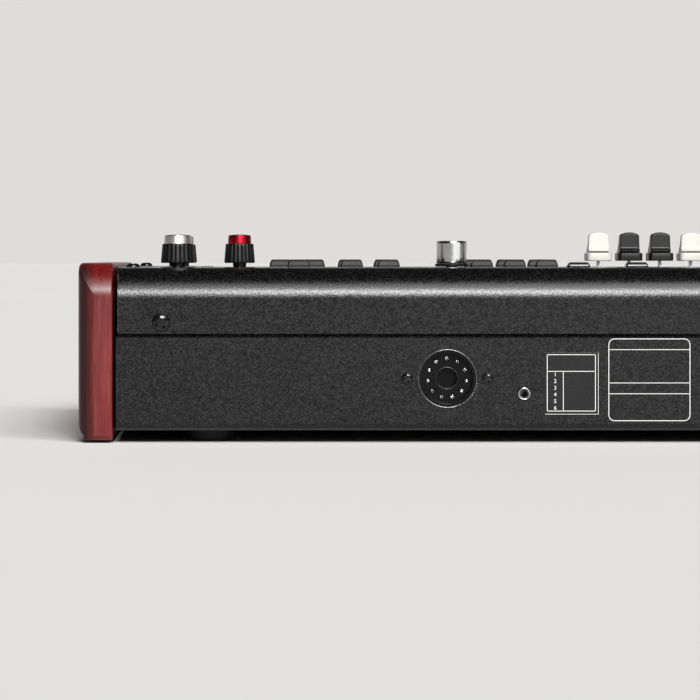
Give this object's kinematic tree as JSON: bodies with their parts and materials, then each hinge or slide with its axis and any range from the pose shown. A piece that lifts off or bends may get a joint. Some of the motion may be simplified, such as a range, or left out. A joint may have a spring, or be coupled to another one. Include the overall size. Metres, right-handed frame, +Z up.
{
  "type": "electronic organ",
  "caption": "Portable one-manual drawbar organ: black steel case with red wooden cheeks, waterfall keys, drawbars, knobs, buttons and rear connectors.",
  "frame": {"origin": "centre of the case in plan, at the level of the surface that the feet stand on", "axes": "+X towards the player's right, +Y towards the rear panel, +Z up"},
  "size_m": [0.98, 0.33, 0.1067],
  "materials": {
    "black_coat": "fine textured powder coat",
    "red_wood": "satin lacquer over red stained wood",
    "black_plastic": "satin",
    "white_key": "gloss",
    "black_key": "satin gloss",
    "white_tab": "satin",
    "black_tab": "satin",
    "brown_tab": "satin",
    "button": "satin",
    "rubber": "matt",
    "silver_knob": "black fluted skirt with an aluminium cap",
    "red_knob": "black fluted skirt with a red anodised cap",
    "steel_knob": "turned and polished",
    "zinc": "plain",
    "jack": "nickel plated",
    "board": "circuit board",
    "window": "smoked clear"
  },
  "bodies": {
    "root": {"bottom_pan": "black_coat", "top_cover": "black_coat", "cheek_left": "red_wood", "cheek_right": "red_wood", "key_block_left": "black_plastic", "key_block_right": "black_plastic", "front_rail": "black_plastic", "key_frame": "zinc", "foot_front_left": "rubber", "foot_front_right": "rubber", "foot_rear_left": "rubber", "foot_rear_right": "rubber", "rotary_socket": "black_plastic", "line_in_jack": "jack", "rear_jack_board": "black_plastic", "mains_inlet": "black_plastic", "main_board": "board", "power_supply": "zinc", "control_board": "board", "display_window": "window"},
    "power_rocker": {"power_rocker": "black_plastic"},
    "naturals_octave_1": {"naturals_octave_1": "white_key"},
    "naturals_octave_2": {"naturals_octave_2": "white_key"},
    "naturals_octave_3": {"naturals_octave_3": "white_key"},
    "naturals_octave_4": {"naturals_octave_4": "white_key"},
    "naturals_octave_5": {"naturals_octave_5": "white_key"},
    "sharps_octave_1": {"sharps_octave_1": "black_key"},
    "sharps_octave_2": {"sharps_octave_2": "black_key"},
    "sharps_octave_3": {"sharps_octave_3": "black_key"},
    "sharps_octave_4": {"sharps_octave_4": "black_key"},
    "sharps_octave_5": {"sharps_octave_5": "black_key"},
    "natural_top_c": {"natural_top_c": "white_key"},
    "drawbar_1": {"drawbar_1": "white_tab"},
    "drawbar_1_13": {"drawbar_1_13": "black_tab"},
    "drawbar_1_35": {"drawbar_1_35": "black_tab"},
    "drawbar_2": {"drawbar_2": "white_tab"},
    "drawbar_2_23": {"drawbar_2_23": "black_tab"},
    "drawbar_4": {"drawbar_4": "white_tab"},
    "drawbar_8": {"drawbar_8": "white_tab"},
    "drawbar_5_13": {"drawbar_5_13": "brown_tab"},
    "drawbar_16": {"drawbar_16": "brown_tab"},
    "reverb_knob": {"reverb_knob": "silver_knob"},
    "tone_knob": {"tone_knob": "silver_knob"},
    "overdrive_knob": {"overdrive_knob": "red_knob"},
    "volume_knob": {"volume_knob": "silver_knob"},
    "vibrato_knob": {"vibrato_knob": "silver_knob"},
    "menu_encoder": {"menu_encoder": "steel_knob"},
    "button_1": {"button_1": "button"},
    "button_2": {"button_2": "button"},
    "button_3": {"button_3": "button"},
    "button_4": {"button_4": "button"},
    "button_5": {"button_5": "button"},
    "button_6": {"button_6": "button"},
    "low_button_1": {"low_button_1": "button"},
    "low_button_2": {"low_button_2": "button"},
    "effect_button_strip": {"effect_button_strip": "button"},
    "engine_button_strip": {"engine_button_strip": "button"},
    "preset_button_strip": {"preset_button_strip": "button"},
    "percussion_button_strip": {"percussion_button_strip": "button"},
    "vibrato_button_strip": {"vibrato_button_strip": "button"}
  },
  "joints": [
    {"name": "power_rocker_tilt", "type": "hinge", "parent": "root", "child": "power_rocker", "pos_m": [-0.407, 0.1602, 0.031], "axis": [1, 0, 0], "range_deg": [0, 14]},
    {"name": "naturals_1_press", "type": "hinge", "parent": "root", "child": "naturals_octave_1", "pos_m": [-0.34075, 0.038, 0.0515], "axis": [1, 0, 0], "range_deg": [0, 3], "stiffness_Nm_per_rad": 6, "springref_deg": -5.73},
    {"name": "naturals_2_press", "type": "hinge", "parent": "root", "child": "naturals_octave_2", "pos_m": [-0.17625, 0.038, 0.0515], "axis": [1, 0, 0], "range_deg": [0, 3], "stiffness_Nm_per_rad": 6, "springref_deg": -5.73},
    {"name": "naturals_3_press", "type": "hinge", "parent": "root", "child": "naturals_octave_3", "pos_m": [-0.01175, 0.038, 0.0515], "axis": [1, 0, 0], "range_deg": [0, 3], "stiffness_Nm_per_rad": 6, "springref_deg": -5.73},
    {"name": "naturals_4_press", "type": "hinge", "parent": "root", "child": "naturals_octave_4", "pos_m": [0.15275, 0.038, 0.0515], "axis": [1, 0, 0], "range_deg": [0, 3], "stiffness_Nm_per_rad": 6, "springref_deg": -5.73},
    {"name": "naturals_5_press", "type": "hinge", "parent": "root", "child": "naturals_octave_5", "pos_m": [0.31725, 0.038, 0.0515], "axis": [1, 0, 0], "range_deg": [0, 3], "stiffness_Nm_per_rad": 6, "springref_deg": -5.73},
    {"name": "sharps_1_press", "type": "hinge", "parent": "root", "child": "sharps_octave_1", "pos_m": [-0.34075, 0.059, 0.056], "axis": [1, 0, 0], "range_deg": [0, 3], "stiffness_Nm_per_rad": 4, "springref_deg": -5.73},
    {"name": "sharps_2_press", "type": "hinge", "parent": "root", "child": "sharps_octave_2", "pos_m": [-0.17625, 0.059, 0.056], "axis": [1, 0, 0], "range_deg": [0, 3], "stiffness_Nm_per_rad": 4, "springref_deg": -5.73},
    {"name": "sharps_3_press", "type": "hinge", "parent": "root", "child": "sharps_octave_3", "pos_m": [-0.01175, 0.059, 0.056], "axis": [1, 0, 0], "range_deg": [0, 3], "stiffness_Nm_per_rad": 4, "springref_deg": -5.73},
    {"name": "sharps_4_press", "type": "hinge", "parent": "root", "child": "sharps_octave_4", "pos_m": [0.15275, 0.059, 0.056], "axis": [1, 0, 0], "range_deg": [0, 3], "stiffness_Nm_per_rad": 4, "springref_deg": -5.73},
    {"name": "sharps_5_press", "type": "hinge", "parent": "root", "child": "sharps_octave_5", "pos_m": [0.31725, 0.059, 0.056], "axis": [1, 0, 0], "range_deg": [0, 3], "stiffness_Nm_per_rad": 4, "springref_deg": -5.73},
    {"name": "top_c_press", "type": "hinge", "parent": "root", "child": "natural_top_c", "pos_m": [0.41125, 0.038, 0.0515], "axis": [1, 0, 0], "range_deg": [0, 3], "stiffness_Nm_per_rad": 1, "springref_deg": -5.73},
    {"name": "drawbar_1_slide", "type": "slide", "parent": "root", "child": "drawbar_1", "axis": [0, -1, 0], "range_m": [0, 0.06]},
    {"name": "drawbar_1_13_slide", "type": "slide", "parent": "root", "child": "drawbar_1_13", "axis": [0, -1, 0], "range_m": [0, 0.06]},
    {"name": "drawbar_1_35_slide", "type": "slide", "parent": "root", "child": "drawbar_1_35", "axis": [0, -1, 0], "range_m": [0, 0.06]},
    {"name": "drawbar_2_slide", "type": "slide", "parent": "root", "child": "drawbar_2", "axis": [0, -1, 0], "range_m": [0, 0.06]},
    {"name": "drawbar_2_23_slide", "type": "slide", "parent": "root", "child": "drawbar_2_23", "axis": [0, -1, 0], "range_m": [0, 0.06]},
    {"name": "drawbar_4_slide", "type": "slide", "parent": "root", "child": "drawbar_4", "axis": [0, -1, 0], "range_m": [0, 0.06]},
    {"name": "drawbar_8_slide", "type": "slide", "parent": "root", "child": "drawbar_8", "axis": [0, -1, 0], "range_m": [0, 0.06]},
    {"name": "drawbar_5_13_slide", "type": "slide", "parent": "root", "child": "drawbar_5_13", "axis": [0, -1, 0], "range_m": [0, 0.06]},
    {"name": "drawbar_16_slide", "type": "slide", "parent": "root", "child": "drawbar_16", "axis": [0, -1, 0], "range_m": [0, 0.06]},
    {"name": "reverb_turn", "type": "hinge", "parent": "root", "child": "reverb_knob", "pos_m": [0.4405, 0.13, 0.095], "axis": [0, 0, 1], "range_deg": [-140, 140]},
    {"name": "tone_turn", "type": "hinge", "parent": "root", "child": "tone_knob", "pos_m": [0.4405, 0.03, 0.095], "axis": [0, 0, 1], "range_deg": [-140, 140]},
    {"name": "overdrive_turn", "type": "hinge", "parent": "root", "child": "overdrive_knob", "pos_m": [0.409, 0.13, 0.095], "axis": [0, 0, 1], "range_deg": [-140, 140]},
    {"name": "volume_turn", "type": "hinge", "parent": "root", "child": "volume_knob", "pos_m": [-0.4405, 0.13, 0.095], "axis": [0, 0, 1], "range_deg": [-140, 140]},
    {"name": "vibrato_turn", "type": "hinge", "parent": "root", "child": "vibrato_knob", "pos_m": [-0.4, 0.13, 0.095], "axis": [0, 0, 1], "range_deg": [-140, 140]},
    {"name": "menu_encoder_spin", "type": "hinge", "parent": "root", "child": "menu_encoder", "pos_m": [0.2993, 0.105, 0.095], "axis": [0, 0, 1], "continuous": true},
    {"name": "button_1_press", "type": "slide", "parent": "root", "child": "button_1", "axis": [0, 0, -1], "range_m": [0, 0.001], "stiffness_N_per_m": 300, "springref_m": -0.001},
    {"name": "button_2_press", "type": "slide", "parent": "root", "child": "button_2", "axis": [0, 0, -1], "range_m": [0, 0.001], "stiffness_N_per_m": 300, "springref_m": -0.001},
    {"name": "button_3_press", "type": "slide", "parent": "root", "child": "button_3", "axis": [0, 0, -1], "range_m": [0, 0.001], "stiffness_N_per_m": 300, "springref_m": -0.001},
    {"name": "button_4_press", "type": "slide", "parent": "root", "child": "button_4", "axis": [0, 0, -1], "range_m": [0, 0.001], "stiffness_N_per_m": 300, "springref_m": -0.001},
    {"name": "button_5_press", "type": "slide", "parent": "root", "child": "button_5", "axis": [0, 0, -1], "range_m": [0, 0.001], "stiffness_N_per_m": 300, "springref_m": -0.001},
    {"name": "button_6_press", "type": "slide", "parent": "root", "child": "button_6", "axis": [0, 0, -1], "range_m": [0, 0.001], "stiffness_N_per_m": 300, "springref_m": -0.001},
    {"name": "low_button_1_press", "type": "slide", "parent": "root", "child": "low_button_1", "axis": [0, 0, -1], "range_m": [0, 0.001], "stiffness_N_per_m": 300, "springref_m": -0.001},
    {"name": "low_button_2_press", "type": "slide", "parent": "root", "child": "low_button_2", "axis": [0, 0, -1], "range_m": [0, 0.001], "stiffness_N_per_m": 300, "springref_m": -0.001},
    {"name": "effect_buttons_press", "type": "slide", "parent": "root", "child": "effect_button_strip", "axis": [0, 0, -1], "range_m": [0, 0.001], "stiffness_N_per_m": 600, "springref_m": -0.001},
    {"name": "engine_buttons_press", "type": "slide", "parent": "root", "child": "engine_button_strip", "axis": [0, 0, -1], "range_m": [0, 0.001], "stiffness_N_per_m": 600, "springref_m": -0.001},
    {"name": "preset_buttons_press", "type": "slide", "parent": "root", "child": "preset_button_strip", "axis": [0, 0, -1], "range_m": [0, 0.001], "stiffness_N_per_m": 600, "springref_m": -0.001},
    {"name": "percussion_buttons_press", "type": "slide", "parent": "root", "child": "percussion_button_strip", "axis": [0, 0, -1], "range_m": [0, 0.001], "stiffness_N_per_m": 600, "springref_m": -0.001},
    {"name": "vibrato_buttons_press", "type": "slide", "parent": "root", "child": "vibrato_button_strip", "axis": [0, 0, -1], "range_m": [0, 0.001], "stiffness_N_per_m": 600, "springref_m": -0.001}
  ]
}
